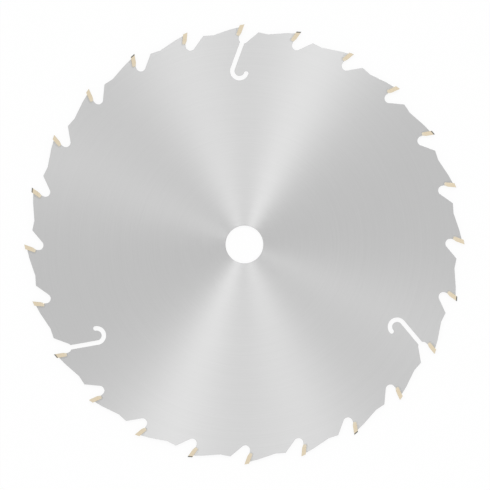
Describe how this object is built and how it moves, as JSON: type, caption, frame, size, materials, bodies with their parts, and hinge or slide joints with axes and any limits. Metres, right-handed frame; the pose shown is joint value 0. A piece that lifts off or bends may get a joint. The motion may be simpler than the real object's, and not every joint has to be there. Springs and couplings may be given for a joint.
{
  "type": "circular saw blade",
  "caption": "Flat round steel saw blade for wood, with carbide tips brazed to its teeth, hooked expansion slots at the rim and a plain arbor bore.",
  "frame": {"origin": "centre of the arbor bore, on the plate's mid-plane", "axes": "+Z along the bore, out of the face from which the teeth cut clockwise; +Y through the first tooth's cutting edge"},
  "size_m": [0.35, 0.35, 0.0036],
  "materials": {
    "plate_steel": "ground in circles",
    "carbide": "fine ground, pale and warm in tone",
    "braze": "dull"
  },
  "bodies": {
    "root": {"blade_body": "plate_steel", "carbide_tip_01": "carbide", "carbide_tip_02": "carbide", "carbide_tip_03": "carbide", "carbide_tip_04": "carbide", "carbide_tip_05": "carbide", "carbide_tip_06": "carbide", "carbide_tip_07": "carbide", "carbide_tip_08": "carbide", "carbide_tip_09": "carbide", "carbide_tip_10": "carbide", "carbide_tip_11": "carbide", "carbide_tip_12": "carbide", "carbide_tip_13": "carbide", "carbide_tip_14": "carbide", "carbide_tip_15": "carbide", "carbide_tip_16": "carbide", "carbide_tip_17": "carbide", "carbide_tip_18": "carbide", "carbide_tip_19": "carbide", "carbide_tip_20": "carbide", "carbide_tip_21": "carbide", "carbide_tip_22": "carbide", "carbide_tip_23": "carbide", "carbide_tip_24": "carbide", "braze_seam_01": "braze", "braze_seam_02": "braze", "braze_seam_03": "braze", "braze_seam_04": "braze", "braze_seam_05": "braze", "braze_seam_06": "braze", "braze_seam_07": "braze", "braze_seam_08": "braze", "braze_seam_09": "braze", "braze_seam_10": "braze", "braze_seam_11": "braze", "braze_seam_12": "braze", "braze_seam_13": "braze", "braze_seam_14": "braze", "braze_seam_15": "braze", "braze_seam_16": "braze", "braze_seam_17": "braze", "braze_seam_18": "braze", "braze_seam_19": "braze", "braze_seam_20": "braze", "braze_seam_21": "braze", "braze_seam_22": "braze", "braze_seam_23": "braze", "braze_seam_24": "braze"}
  },
  "joints": []
}
